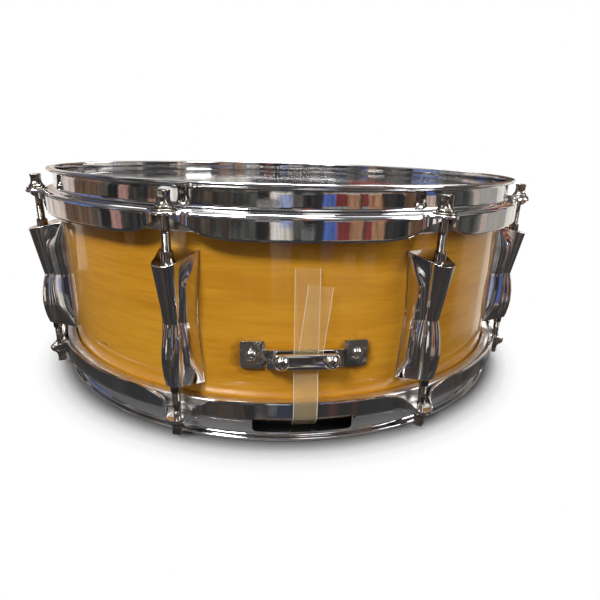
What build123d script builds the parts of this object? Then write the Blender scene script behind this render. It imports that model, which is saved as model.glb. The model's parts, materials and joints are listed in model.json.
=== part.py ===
"""Snare drum, 14 by 5 inches: wooden shell, eight double-ended lugs, triple-flanged hoops,
clear plastic snare straps, a butt plate at the front and a throw-off strainer at the back.

Millimetres. +Z is up. The origin is on the drum's axis, in the plane of the lower rim that it
rests on. Bearings are in degrees round the drum: 0 is the butt plate at -Y, 90 is +X and 180 is
the strainer at +Y.
"""
import os
from math import cos, exp, radians, sin

from build123d import *

os.makedirs("parts", exist_ok=True)

# ---- driving dimensions -------------------------------------------------------------------
drum_height = 147.2          # rim to rim
mid_height = drum_height / 2
rim_depth = 10.1             # rim to the bearing edge beside it
shell_radius = 177.0
shell_wall = 6.0
lug_count = 8
lug_bearings = [22.5 + 45.0 * i for i in range(lug_count)]
butt_bearing = 0.0
strainer_bearing = 180.0
vent_bearing = 225.0
fit_gap = 0.05               # between pieces that are screwed or pressed together

vent_radius = 6.3
vent_bore = 4.75

# hoops, given by depth from their own rim
collar_inner = 177.6
collar_outer = 179.4
lip_outer = 183.0
lip_depth = 2.2
ledge_depth = 13.8
ledge_round = 2.6
hoop_wall = 1.8
skirt_outer = 187.0
skirt_depth = 28.3
ear_top_depth = 14.4
ear_wall = 2.1
ear_radius = 7.2
ear_hole_radius = 3.4
scallop_half_width = 40.0
gate_half_width = 29.8
gate_near_depth = 4.2
gate_far_depth = 18.6
gate_corner = 2.5

# heads
film = 0.3
flesh_inner = 177.65
flesh_outer = 183.6
flesh_depth = 15.7
flesh_height = 10.0

# tension rods, given by depth from the rim beside them
rod_circle = 189.6
rod_tip_depth = 4.2
washer_radius = 6.6
washer_thickness = 1.2
rod_collar_radius = 5.1
key_side = 5.9
shank_radius = 2.3
thread_radius = 2.5
thread_start_depth = 27.0
rod_end_depth = 53.0

# lugs
lug_back = shell_radius + fit_gap
lug_screw_half_spacing = 19.0
lug_screw_radius = 2.0
nut_body_radius = 4.2
nut_body_height = 10.5
upper_nut_top = 112.6
lower_nut_bottom = 31.0
nut_shoulder_from_mid = 30.4

# butt plate
butt_screw_radius = 2.0
butt_height = 53.5
butt_tab_bearing = 9.75
butt_tab_width = 12.4
butt_tab_tall = 16.4
butt_tab_corner = 1.8
butt_plate = 1.8
bridge_half_width = 20.4
bridge_tall = 11.0
bridge_back = 181.2
clamp_gap = 1.2
clamp_bar_half_width = 19.2
clamp_bar_tall = 8.8
clamp_bar_thick = 3.2
clamp_screw_half_spacing = 13.6

# straps and snare wires
strap_width = 13.8
strap_thick = 0.8
strap_layer = 0.4
wire_count = 20
wire_pitch = 2.1
wire_radius = 1.0
wire_centre_height = 8.6
wire_half_length = 158.0
end_plate_near = 155.0
end_plate_far = 170.0
end_plate_half_width = 23.0

# strainer
strainer_screw_radius = 2.0
housing_half_width = 16.0
housing_low = 52.0
housing_high = 100.0
housing_back = 5.0
flange_wall = 3.2
flange_reach = 204.0
pivot_radius = 200.0
pivot_height = 70.0
screw_axis = 190.0
carriage_low = 62.0
carriage_high = 92.0
carriage_front = 195.2
slide_gap = 0.2
strap_block_low = 46.0
strap_block_high = 58.6
strap_block_front = 195.0


# ---- placing --------------------------------------------------------------------------------
def outward(bearing, radius, height):
    """Point at a bearing, a radius from the drum's axis and a height."""
    a = radians(bearing)
    return (radius * sin(a), -radius * cos(a), height)


def facing_plane(bearing, radius, height):
    """Upright plane seen from outside: x to the right, y up, normal outwards."""
    a = radians(bearing)
    return Plane(origin=outward(bearing, radius, height), x_dir=(cos(a), sin(a), 0),
                 z_dir=(sin(a), -cos(a), 0))


def level_plane(bearing, radius, height):
    """Level plane: x to the right seen from outside, y towards the axis, normal up."""
    a = radians(bearing)
    return Plane(origin=outward(bearing, radius, height), x_dir=(cos(a), sin(a), 0),
                 z_dir=(0, 0, 1))


def radial_plane(bearing):
    """Upright plane through the axis: x outwards, y up."""
    a = radians(bearing)
    return Plane(origin=(0, 0, 0), x_dir=(sin(a), -cos(a), 0), z_dir=(-cos(a), -sin(a), 0))


def save(builder, label):
    """Name a finished piece and write its file."""
    builder.part.label = label
    export_step(builder.part, f"parts/{label}.step")


def height_at(depth, top):
    """Height of a point that lies a depth away from the upper or the lower rim."""
    return drum_height - depth if top else depth


# ---- shell ----------------------------------------------------------------------------------
def make_shell():
    low = rim_depth
    high = drum_height - rim_depth
    inner = shell_radius - shell_wall
    edge_radius = shell_radius - 1.5
    inner_cut = edge_radius - inner
    bed_radius = 625.0
    bed_depth = 2.0
    with BuildPart() as shell:
        with BuildSketch(Plane.XZ):
            with BuildLine():
                Polyline((inner, low + inner_cut), (edge_radius, low), (shell_radius, low + 1.5),
                         (shell_radius, high - 1.5), (edge_radius, high), (inner, high - inner_cut),
                         close=True)
            make_face()
        revolve(axis=Axis.Z)
        # snare beds: shallow dips in the lower bearing edge, at the butt and at the strainer
        with BuildSketch(Plane.XZ):
            with Locations((0, low + bed_depth - bed_radius)):
                Circle(bed_radius)
        extrude(amount=shell_radius + 5, both=True, mode=Mode.SUBTRACT)
        # holes for the lug screws, the butt plate's screws, the strainer's screws and the vent
        for bearing in lug_bearings:
            for side in (-1, 1):
                height = mid_height + side * lug_screw_half_spacing
                with BuildSketch(facing_plane(bearing, inner - 5, height)):
                    Circle(lug_screw_radius + 0.2)
                extrude(amount=shell_wall + 10, mode=Mode.SUBTRACT)
        for side in (-1, 1):
            with BuildSketch(facing_plane(butt_bearing + side * butt_tab_bearing, inner - 5, butt_height)):
                Circle(butt_screw_radius + 0.2)
            extrude(amount=shell_wall + 10, mode=Mode.SUBTRACT)
            with BuildSketch(facing_plane(strainer_bearing, inner - 5, strainer_screw_height(side))):
                Circle(strainer_screw_radius + 0.2)
            extrude(amount=shell_wall + 10, mode=Mode.SUBTRACT)
        with BuildSketch(facing_plane(vent_bearing, inner - 5, mid_height)):
            Circle(vent_radius + fit_gap)
        extrude(amount=shell_wall + 10, mode=Mode.SUBTRACT)
    save(shell, "shell")


def make_vent_grommet():
    """Flanged eyelet through the shell's vent hole."""
    inner = shell_radius - shell_wall
    with BuildPart() as grommet:
        with BuildSketch(facing_plane(vent_bearing, inner - 1.6, mid_height)):
            Circle(vent_radius)
        extrude(amount=shell_wall + 3.0)
        with BuildSketch(facing_plane(vent_bearing, shell_radius + 0.06, mid_height)):
            Circle(9.2)
        extrude(amount=1.3)
        with BuildSketch(facing_plane(vent_bearing, inner - 1.6, mid_height)):
            Circle(8.6)
        extrude(amount=1.2)
        with BuildSketch(facing_plane(vent_bearing, inner - 3, mid_height)):
            Circle(vent_bore)
        extrude(amount=shell_wall + 8, mode=Mode.SUBTRACT)
        outer_rim = grommet.edges().filter_by(GeomType.CIRCLE).filter_by(lambda e: abs(e.radius - 9.2) < 0.01)
        fillet(outer_rim, 0.5)
    save(grommet, "vent_grommet")


# ---- hoops ----------------------------------------------------------------------------------
def scallop_depth(offset):
    """Depth of the skirt's free edge at a distance to either side of a tension rod."""
    ear_bottom = ear_top_depth + ear_wall
    beyond = max(0.0, abs(offset) - 5.6)
    return ear_bottom + (skirt_depth + 0.3 - ear_bottom) * (1 - exp(-beyond / 9.0)) * 1.012


def make_hoop(top, label):
    """Triple-flanged hoop: lip, collar, ledge over the head's own hoop, and a scalloped skirt
    that opens into an ear at each tension rod. The lower one has two snare gates, each cut
    through the collar, the ledge and the foot of the skirt."""
    def level(depth):
        return height_at(depth, top)

    with BuildPart() as hoop:
        with BuildSketch(Plane.XZ):
            with BuildLine():
                Polyline((collar_inner, level(0)), (lip_outer, level(0)), (lip_outer, level(lip_depth)),
                         (collar_outer, level(lip_depth)), (collar_outer, level(ledge_depth)),
                         (skirt_outer, level(ledge_depth)), (skirt_outer, level(skirt_depth)),
                         (skirt_outer - hoop_wall, level(skirt_depth)),
                         (skirt_outer - hoop_wall, level(ledge_depth + hoop_wall)),
                         (collar_inner, level(ledge_depth + hoop_wall)), close=True)
            profile = make_face()
            corners = profile.vertices()
            fillet([v for v in corners if abs(v.X - skirt_outer) < 0.01
                    and abs(v.Y - level(ledge_depth)) < 0.01], ledge_round)
            fillet([v for v in corners if abs(v.X - lip_outer) < 0.01], 0.7)
        revolve(axis=Axis.Z)
        for bearing in lug_bearings:
            # the skirt sweeps away on both sides of the rod
            steps = [scallop_half_width * i / 8 for i in range(-8, 9)]
            near = [s for s in steps if abs(s) > 6.0]
            edge = [(s, level(scallop_depth(s))) for s in near]
            left = [p for p in edge if p[0] < 0] + [(-5.6, level(scallop_depth(0)))]
            right = [(5.6, level(scallop_depth(0)))] + [p for p in edge if p[0] > 0]
            beyond = level(skirt_depth + 3)
            with BuildSketch(facing_plane(bearing, collar_outer - 2, 0)):
                with BuildLine():
                    Spline(*left)
                    Line(left[-1], right[0])
                    Spline(*right)
                    Polyline(right[-1], (scallop_half_width, beyond), (-scallop_half_width, beyond), left[0])
                make_face()
            extrude(amount=15, mode=Mode.SUBTRACT)
            # ear: a flat tongue that carries the rod's washer
            ear_low = min(level(ear_top_depth), level(ear_top_depth + ear_wall))
            with BuildSketch(level_plane(bearing, rod_circle, ear_low)):
                Circle(ear_radius)
                Polygon((-11.5, 4.9), (-ear_radius + 0.7, -1.0), (ear_radius - 0.7, -1.0), (11.5, 4.9),
                        align=None)
                with Locations((0, rod_circle)):
                    Circle(flesh_outer + 0.5, mode=Mode.SUBTRACT)
            extrude(amount=ear_wall)
            with BuildSketch(level_plane(bearing, rod_circle, level(ear_top_depth))):
                Circle(ear_hole_radius)
            extrude(amount=10, both=True, mode=Mode.SUBTRACT)
            # seat for the washer, sunk a little into the ledge
            with BuildSketch(level_plane(bearing, rod_circle, level(ear_top_depth))):
                Circle(washer_radius + 0.5)
            extrude(amount=6 if top else -6, mode=Mode.SUBTRACT)
        if not top:
            for bearing in (butt_bearing, strainer_bearing):
                with BuildSketch(facing_plane(bearing, collar_inner - 8, (gate_near_depth + gate_far_depth) / 2)):
                    RectangleRounded(2 * gate_half_width, gate_far_depth - gate_near_depth, gate_corner)
                extrude(amount=20, mode=Mode.SUBTRACT)
    save(hoop, label)


# ---- heads ----------------------------------------------------------------------------------
def make_head(top, label):
    """Plastic film over the bearing edge, down outside the shell and into its flesh hoop."""
    def level(depth):
        return height_at(depth, top)

    face = rim_depth - 0.05
    outer = shell_radius + 0.15 + film
    tuck = flesh_depth + 6.0
    with BuildPart() as head:
        with BuildSketch(Plane.XZ):
            with BuildLine():
                Polyline((0, level(face - film)), (shell_radius - 1.4, level(face - film)),
                         (outer, level(face + 1.4)), (outer, level(tuck)), (outer + 3.2, level(tuck)),
                         (outer + 3.2, level(tuck + film)), (outer - film, level(tuck + film)),
                         (outer - film, level(face + 1.5)), (shell_radius - 1.5, level(face)),
                         (0, level(face)), close=True)
            make_face()
        revolve(axis=Axis.Z)
    save(head, label)


def make_flesh_hoop(top, label):
    """Aluminium hoop that holds the film's edge in a slot."""
    def level(depth):
        return height_at(depth, top)

    slot = flesh_depth + 6.0 + film / 2
    with BuildPart() as flesh:
        with BuildSketch(Plane.XZ.offset(0)):
            with Locations(((flesh_inner + flesh_outer) / 2, level(flesh_depth + flesh_height / 2))):
                RectangleRounded(flesh_outer - flesh_inner, flesh_height, 1.0)
            with Locations((flesh_inner + 1.5, level(slot))):
                Rectangle(4.0, 0.6, mode=Mode.SUBTRACT)
        revolve(axis=Axis.Z)
    save(flesh, label)


# ---- lugs -----------------------------------------------------------------------------------
# Outline of the casing at each height: half-width on the shell, then half-width and reach of the
# side wall's end, of the shoulder and of the nose.
lug_sections = [
    (30.0, 11.7, 8.2, 185.6, 4.2, 189.0, 2.2, 193.0),
    (40.5, 11.4, 8.7, 187.4, 5.6, 192.2, 2.9, 196.7),
    (60.0, 10.2, 8.2, 187.6, 5.3, 192.0, 2.8, 196.2),
    (73.0, 9.3, 7.4, 186.8, 4.3, 190.2, 2.3, 193.4),
    (97.0, 10.6, 8.8, 187.6, 6.0, 193.2, 3.2, 197.4),
    (114.0, 11.6, 10.8, 187.6, 9.2, 194.4, 4.6, 199.4),
]
lug_top_at_shell = 111.3
lug_top_at_nose = 106.0
lug_bottom_at_shell = 33.0
lug_bottom_at_nose = 37.6
lug_nose = 198.8


def make_lug(bearing, label):
    """Double-ended cast casing, open at the back, with a cross web behind each mounting screw."""
    a = radians(bearing)
    tangent = (cos(a), sin(a), 0)
    rise_top = lug_top_at_shell - lug_top_at_nose
    rise_bottom = lug_bottom_at_nose - lug_bottom_at_shell
    reach = lug_nose - lug_back
    channel_low = mid_height - nut_shoulder_from_mid - 0.3
    channel_high = mid_height + nut_shoulder_from_mid + 0.3
    channel_back = 185.2
    channel_wide = 2 * nut_body_radius + 0.8
    nut_channel_front = rod_circle + nut_body_radius + 0.4
    waist_front = 192.3
    waist_wide = 6.2
    with BuildPart() as lug:
        for height, base, side, side_reach, shoulder, shoulder_reach, nose, nose_reach in lug_sections:
            with BuildSketch(level_plane(bearing, 0, height)):
                with BuildLine():
                    Polyline((-base, -lug_back), (-side, -side_reach), (-shoulder, -shoulder_reach),
                             (-nose, -nose_reach), (nose, -nose_reach), (shoulder, -shoulder_reach),
                             (side, -side_reach), (base, -lug_back), close=True)
                make_face()
        loft(ruled=True)
        top_cut = Plane(origin=outward(bearing, lug_back, lug_top_at_shell), x_dir=tangent,
                        z_dir=(rise_top * sin(a), -rise_top * cos(a), reach))
        split(bisect_by=top_cut, keep=Keep.BOTTOM)
        bottom_cut = Plane(origin=outward(bearing, lug_back, lug_bottom_at_shell), x_dir=tangent,
                           z_dir=(-rise_bottom * sin(a), rise_bottom * cos(a), reach))
        split(bisect_by=bottom_cut, keep=Keep.TOP)
        # back of the casing follows the shell
        with BuildSketch(Plane.XY):
            Circle(lug_back)
        extrude(amount=drum_height, mode=Mode.SUBTRACT)
        # channel for the two swivel nuts and the spring between them
        for low, high in ((channel_low, mid_height - 19.0), (mid_height + 19.0, channel_high)):
            with BuildSketch(facing_plane(bearing, channel_back, (low + high) / 2)):
                Rectangle(channel_wide, high - low)
            extrude(amount=nut_channel_front - channel_back, mode=Mode.SUBTRACT)
        with BuildSketch(facing_plane(bearing, channel_back, mid_height)):
            Rectangle(waist_wide, 40.0)
        extrude(amount=waist_front - channel_back, mode=Mode.SUBTRACT)
        # the back is open except for the webs that the mounting screws thread into
        for low, high in ((channel_low, 50.6), (58.6, 88.6), (96.6, channel_high)):
            with BuildSketch(facing_plane(bearing, lug_back - 4, (low + high) / 2)):
                Rectangle(waist_wide, high - low)
            extrude(amount=channel_back - lug_back + 4, mode=Mode.SUBTRACT)
        for side in (-1, 1):
            with BuildSketch(facing_plane(bearing, lug_back - 4, mid_height + side * lug_screw_half_spacing)):
                Circle(lug_screw_radius + fit_gap)
            extrude(amount=10.2, mode=Mode.SUBTRACT)
        # rod and nut holes through the two ends
        with BuildSketch(level_plane(bearing, rod_circle, channel_high - 2)):
            Circle(3.5 + 0.15)
        extrude(amount=20, mode=Mode.SUBTRACT)
        with BuildSketch(level_plane(bearing, rod_circle, channel_low + 2)):
            Circle(3.0 + 0.15)
        extrude(amount=-20, mode=Mode.SUBTRACT)
    save(lug, label)


def make_swivel_nuts():
    """Two nuts in each lug: a body trapped in the casing and a neck through its end."""
    shoulder = nut_shoulder_from_mid
    with BuildPart() as nuts:
        for bearing in lug_bearings:
            for side, neck_radius, tip in ((1, 3.5, upper_nut_top), (-1, 3.0, lower_nut_bottom)):
                root = mid_height + side * shoulder
                with BuildSketch(level_plane(bearing, rod_circle, root)):
                    Circle(nut_body_radius)
                extrude(amount=-side * nut_body_height)
                with BuildSketch(level_plane(bearing, rod_circle, root)):
                    Circle(neck_radius)
                extrude(amount=tip - root)
                with BuildSketch(level_plane(bearing, rod_circle, mid_height + side * 15)):
                    Circle(thread_radius + fit_gap)
                extrude(amount=side * 40, mode=Mode.SUBTRACT)
    save(nuts, "swivel_nuts")


def make_lug_springs():
    """Spring in each lug that keeps the two nuts apart and quiet, of eight-sided wire."""
    wire = 0.4
    coil = 2.15
    span = 2 * (nut_shoulder_from_mid - nut_body_height) - 0.6 - 2 * wire
    with BuildPart() as springs:
        for bearing in lug_bearings:
            with BuildLine():
                turns = Helix(pitch=span / 11, height=span, radius=coil,
                              center=outward(bearing, rod_circle, mid_height - span / 2))
            with BuildSketch(Plane(origin=turns @ 0, z_dir=turns % 0)):
                RegularPolygon(radius=wire, side_count=8)
            sweep(path=turns, is_frenet=True)
    save(springs, "lug_springs")


def make_lug_screws():
    """Pan-head screws from inside the shell into each lug's webs."""
    inner = shell_radius - shell_wall
    with BuildPart() as screws:
        for bearing in lug_bearings:
            for side in (-1, 1):
                height = mid_height + side * lug_screw_half_spacing
                with BuildSketch(facing_plane(bearing, inner - 1.0, height)):
                    Circle(3.8)
                extrude(amount=-2.4)
                with BuildSketch(facing_plane(bearing, inner - 1.5, height)):
                    Circle(lug_screw_radius)
                extrude(amount=13.0)
    save(screws, "lug_screws")


def make_lug_screw_washers():
    inner = shell_radius - shell_wall
    with BuildPart() as washers:
        for bearing in lug_bearings:
            for side in (-1, 1):
                with BuildSketch(facing_plane(bearing, inner - 0.95, mid_height + side * lug_screw_half_spacing)):
                    Circle(5.0)
                    Circle(lug_screw_radius + 0.2, mode=Mode.SUBTRACT)
                extrude(amount=0.8)
    save(washers, "lug_screw_washers")


# ---- tension rods -----------------------------------------------------------------------------
def make_rod(bearing, top, label):
    """Square key head on a flared collar, plain shank, then the threaded end."""
    toward_rim = 1 if top else -1
    seat_depth = ear_top_depth - washer_thickness - 0.02
    collar_thick = 1.2
    flare = 2.6
    seat = height_at(seat_depth, top)
    tip = height_at(rod_tip_depth, top)
    with BuildPart() as rod:
        with BuildSketch(level_plane(bearing, rod_circle, seat)):
            Circle(rod_collar_radius)
        extrude(amount=toward_rim * collar_thick)
        with BuildSketch(level_plane(bearing, rod_circle, seat + toward_rim * collar_thick)):
            Circle(rod_collar_radius - 0.4)
        with BuildSketch(level_plane(bearing, rod_circle, seat + toward_rim * (collar_thick + flare))):
            Circle(key_side / 2)
        loft()
        with BuildSketch(level_plane(bearing, rod_circle, seat + toward_rim * collar_thick)):
            RectangleRounded(key_side, key_side, 0.8)
        extrude(amount=tip - seat - toward_rim * collar_thick)
        with BuildSketch(level_plane(bearing, rod_circle, seat)):
            Circle(shank_radius)
        extrude(amount=-toward_rim * (thread_start_depth - seat_depth))
        with BuildSketch(level_plane(bearing, rod_circle, height_at(thread_start_depth, top))):
            Circle(thread_radius)
        extrude(amount=-toward_rim * (rod_end_depth - thread_start_depth))
        end_edge = rod.edges().group_by(Axis.Z)[0 if top else -1]
        chamfer(end_edge, 0.8)
    save(rod, label)


def make_rod_washers(top, label):
    with BuildPart() as washers:
        for bearing in lug_bearings:
            low = min(height_at(ear_top_depth, top), height_at(ear_top_depth - washer_thickness, top))
            with BuildSketch(level_plane(bearing, rod_circle, low)):
                Circle(washer_radius)
                Circle(shank_radius + 0.3, mode=Mode.SUBTRACT)
            extrude(amount=washer_thickness)
    save(washers, label)


# ---- butt plate ---------------------------------------------------------------------------------
def pan_screw(bearing, seat_radius, height, head_radius, head_thick, shank, length, sideways=0.0):
    """Domed cross-head screw whose head sits on seat_radius, outside, and points at the axis."""
    seat = facing_plane(bearing, seat_radius, height)
    with BuildPart() as screw:
        with BuildSketch(seat):
            with Locations((sideways, 0)):
                Circle(head_radius)
        extrude(amount=head_thick * 0.45)
        with BuildSketch(seat.offset(head_thick * 0.45)):
            with Locations((sideways, 0)):
                Circle(head_radius)
        with BuildSketch(seat.offset(head_thick)):
            with Locations((sideways, 0)):
                Circle(head_radius * 0.62)
        loft()
        with BuildSketch(seat.offset(head_thick - 1.0)):
            with Locations((sideways, 0)):
                Rectangle(head_radius * 1.0, head_radius * 0.26)
                Rectangle(head_radius * 0.26, head_radius * 1.0)
        extrude(amount=2, mode=Mode.SUBTRACT)
        with BuildSketch(seat):
            with Locations((sideways, 0)):
                Circle(shank)
        extrude(amount=-length)
    return screw.part


def save_group(parts, label):
    """Write several separate solids as one piece."""
    with BuildPart() as group:
        add(parts)
    save(group, label)


def make_butt_bracket():
    """Bent plate: a tab on the shell at each end and a bridge standing off between them."""
    tab_angle = radians(butt_tab_bearing)
    tab_radius = shell_radius + 0.1 + butt_plate / 2
    along = butt_tab_width / 2

    def tab_point(s):
        return (tab_radius * sin(tab_angle) + s * cos(tab_angle),
                -(tab_radius * cos(tab_angle) - s * sin(tab_angle)))

    bridge = -(bridge_back + butt_plate / 2)
    right = [(bridge_half_width, bridge), tab_point(-along - 0.5), tab_point(along)]
    left = [(-x, y) for x, y in reversed(right)]
    tab_low = butt_height - butt_tab_tall / 2
    with BuildPart() as bracket:
        with BuildSketch(Plane.XY.offset(tab_low)):
            with BuildLine():
                FilletPolyline(*left, *right, radius=1.2)
            trace(line_width=butt_plate)
        extrude(amount=butt_tab_tall)
        # the bridge is lower than the tabs
        spare = (butt_tab_tall - bridge_tall) / 2
        for low in (tab_low, tab_low + butt_tab_tall - spare):
            with BuildSketch(Plane.XY.offset(low)):
                with Locations((0, bridge)):
                    Rectangle(2 * bridge_half_width + 2.4, 12)
            extrude(amount=spare, mode=Mode.SUBTRACT)
        tab_end = tab_point(along)[0]
        corners = bracket.edges().filter_by(lambda e: abs(e.length - butt_plate) < 0.01
                                            and abs(abs(e.center().X) - tab_end) < 1.0)
        fillet(corners, butt_tab_corner)
        for side in (-1, 1):
            with BuildSketch(facing_plane(side * butt_tab_bearing, shell_radius - 3, butt_height)):
                Circle(butt_screw_radius + 0.2)
            extrude(amount=10, mode=Mode.SUBTRACT)
            with BuildSketch(facing_plane(butt_bearing, bridge_back - 2, butt_height)):
                with Locations((side * clamp_screw_half_spacing, 0)):
                    Circle(butt_screw_radius + fit_gap)
            extrude(amount=6, mode=Mode.SUBTRACT)
    save(bracket, "butt_bracket")


def clamp_bar(bearing, back_radius, height, half_width, tall, thick, screw_offset, hole):
    """Rounded bar that two screws pull down onto a strap."""
    with BuildPart() as bar:
        with BuildSketch(facing_plane(bearing, back_radius, height)):
            RectangleRounded(2 * half_width, tall, tall / 2 - 0.4)
            with Locations((-screw_offset, 0), (screw_offset, 0)):
                Circle(hole, mode=Mode.SUBTRACT)
        extrude(amount=thick)
    return bar


def make_butt_clamp():
    back = bridge_back + butt_plate + clamp_gap
    bar = clamp_bar(butt_bearing, back, butt_height, clamp_bar_half_width, clamp_bar_tall,
                    clamp_bar_thick, clamp_screw_half_spacing, butt_screw_radius + 0.2)
    save(bar, "butt_clamp_bar")
    screws = [pan_screw(butt_bearing, back + clamp_bar_thick + 0.02, butt_height, 4.1, 2.8,
                        butt_screw_radius, 9.0, side * clamp_screw_half_spacing) for side in (-1, 1)]
    save_group(screws, "butt_clamp_screws")


def make_butt_mounting():
    screws = [pan_screw(side * butt_tab_bearing, shell_radius + 0.12 + butt_plate, butt_height, 3.4,
                        2.2, butt_screw_radius, 13.0) for side in (-1, 1)]
    save_group(screws, "butt_mounting_screws")
    inner = shell_radius - shell_wall
    with BuildPart() as nuts:
        for side in (-1, 1):
            with BuildSketch(facing_plane(side * butt_tab_bearing, inner - 0.15, butt_height)):
                RegularPolygon(4.0, 6)
                Circle(butt_screw_radius + fit_gap, mode=Mode.SUBTRACT)
            extrude(amount=-3.2)
    save(nuts, "butt_mounting_nuts")


# ---- straps -------------------------------------------------------------------------------------
# Side view of the strap: (radius, height) points from the clamp down over the skirt and in
# through the gate.
skirt_clear = skirt_outer + 0.1 + strap_thick / 2
over_hoop = [(skirt_clear + 0.3, 28.8), (skirt_clear + 0.15, 17.5), (180.0, 10.45)]
over_hoop_bends = [1.0, 1.0, 3.2]
tail_run = [(179.4, 10.15), (177.2, 8.95), (173.0, 8.3), (159.2, 8.3)]


def strap_run(bearing, points, bend):
    """Strap of even width that follows a side view of (radius, height) points."""
    with BuildPart() as run:
        with BuildSketch(radial_plane(bearing)):
            with BuildLine():
                FilletPolyline(*points, radius=bend)
            trace(line_width=strap_thick)
        extrude(amount=strap_width / 2, both=True)
    return run.part


def make_butt_strap():
    """Doubled strap held by the butt clamp, with its two loose ends standing up above the bar."""
    clamp_middle = bridge_back + butt_plate + clamp_gap / 2
    end_low = 59.0
    upright_tip = 104.4
    tilted_length = 37.0
    tilt = 7.0
    run = strap_run(butt_bearing, [(clamp_middle, end_low), (clamp_middle, 47.5)] + over_hoop,
                    over_hoop_bends)
    with BuildPart() as strap:
        add(run)
        # loose end that stands straight, leaning back against the shell
        with BuildSketch(radial_plane(butt_bearing)):
            with BuildLine():
                Polyline((clamp_middle - 0.2, end_low - 0.5), (178.6, upright_tip))
            trace(line_width=strap_layer)
        extrude(amount=strap_width / 2, both=True)
        # loose end that leans over to one side, in front of the other
        lean = Plane(origin=outward(butt_bearing, clamp_middle + 0.2, end_low - 0.5),
                     x_dir=(cos(radians(tilt)), 0, -sin(radians(tilt))),
                     z_dir=(0, -1, -0.09))
        with BuildSketch(lean):
            with Locations((2.6, tilted_length / 2)):
                Rectangle(strap_width, tilted_length)
        extrude(amount=strap_layer)
    save(strap, "butt_strap")


def make_strainer_strap():
    """Strap from the strainer's clamp over the skirt and in through the rear gate."""
    clamp_middle = strap_block_front + 0.5
    run = strap_run(strainer_bearing, [(clamp_middle, 57.0), (clamp_middle, 45.0)] + over_hoop,
                    over_hoop_bends)
    save_group([run], "strainer_strap")


def make_snares():
    """Coiled wires on two end plates, and the strap tails that pull on them."""
    with BuildPart() as wires:
        with BuildSketch(Plane.XZ.offset(-wire_half_length)):
            for i in range(wire_count):
                with Locations(((i - (wire_count - 1) / 2) * wire_pitch, wire_centre_height)):
                    Circle(wire_radius)
        extrude(amount=2 * wire_half_length)
    save(wires, "snare_wires")
    plate_top = wire_centre_height - wire_radius - 0.1
    with BuildPart() as plates:
        with BuildSketch(Plane.XY.offset(plate_top - 0.9)):
            for side in (-1, 1):
                with Locations((0, side * (end_plate_near + end_plate_far) / 2)):
                    RectangleRounded(2 * end_plate_half_width, end_plate_far - end_plate_near, 2.0)
                with Locations((-17, side * (end_plate_far - 4)), (17, side * (end_plate_far - 4))):
                    Circle(1.4, mode=Mode.SUBTRACT)
        extrude(amount=0.9)
    save(plates, "snare_end_plates")
    save_group([strap_run(bearing, tail_run, 1.0) for bearing in (butt_bearing, strainer_bearing)],
               "snare_tail_straps")


# ---- strainer -----------------------------------------------------------------------------------
def strainer_screw_height(side):
    return 76.0 + side * 17.0


def make_strainer_housing():
    """Cast channel on the shell, with two flanges that carry the lever's pin."""
    middle = (housing_low + housing_high) / 2
    tall = housing_high - housing_low
    flange_x = housing_half_width - flange_wall / 2
    back_front = lug_back + housing_back
    with BuildPart() as housing:
        with BuildSketch(facing_plane(strainer_bearing, lug_back - 1.5, middle)):
            RectangleRounded(2 * housing_half_width, tall, 3.0)
        extrude(amount=housing_back + 1.5)
        for side in (-1, 1):
            with BuildSketch(facing_plane(strainer_bearing, back_front - 1, middle)):
                with Locations((side * flange_x, 0)):
                    Rectangle(flange_wall, tall - 6.0)
            extrude(amount=flange_reach - back_front + 1)
        top_front = [e for e in housing.edges().filter_by(Axis.X)
                     if abs(e.center().Y - flange_reach) < 0.01]
        fillet(top_front, 6.0)
        with BuildSketch(Plane.XY):
            Circle(lug_back)
        extrude(amount=drum_height, mode=Mode.SUBTRACT)
        with BuildSketch(Plane.YZ):
            with Locations((pivot_radius, pivot_height)):
                Circle(2.05)
        extrude(amount=housing_half_width + 2, both=True, mode=Mode.SUBTRACT)
        for side in (-1, 1):
            with BuildSketch(facing_plane(strainer_bearing, lug_back - 4, strainer_screw_height(side))):
                Circle(strainer_screw_radius + fit_gap)
            extrude(amount=8.0, mode=Mode.SUBTRACT)
    save(housing, "strainer_housing")
    inner = shell_radius - shell_wall
    with BuildPart() as screws:
        for side in (-1, 1):
            with BuildSketch(facing_plane(strainer_bearing, inner - 0.1, strainer_screw_height(side))):
                Circle(4.2)
            extrude(amount=-2.6)
            with BuildSketch(facing_plane(strainer_bearing, inner - 1.0, strainer_screw_height(side))):
                Circle(strainer_screw_radius)
            extrude(amount=10.6)
    save(screws, "strainer_mounting_screws")
    with BuildPart() as pin:
        with BuildSketch(Plane.YZ):
            with Locations((pivot_radius, pivot_height)):
                Circle(2.0)
        extrude(amount=housing_half_width + 0.8, both=True)
        for side in (-1, 1):
            with BuildSketch(Plane.YZ.offset(side * (housing_half_width + 0.05))):
                with Locations((pivot_radius, pivot_height)):
                    Circle(3.0)
            extrude(amount=side * 1.2)
    save(pin, "lever_pin")


def make_slide_carriage():
    """Block that the lever raises and lowers between the flanges."""
    half = housing_half_width - flange_wall - slide_gap
    back = lug_back + housing_back + slide_gap
    with BuildPart() as carriage:
        with BuildSketch(Plane.XY.offset(carriage_low)):
            with Locations((0, (back + carriage_front) / 2)):
                RectangleRounded(2 * half, carriage_front - back, 1.0)
        extrude(amount=carriage_high - carriage_low)
        chamfer(carriage.edges().group_by(Axis.Z)[-1], 0.6)
        with BuildSketch(Plane.XY.offset(carriage_low - 1)):
            with Locations((0, screw_axis)):
                Circle(2.6)
        extrude(amount=carriage_high - carriage_low + 2, mode=Mode.SUBTRACT)
    save(carriage, "slide_carriage")


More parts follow.
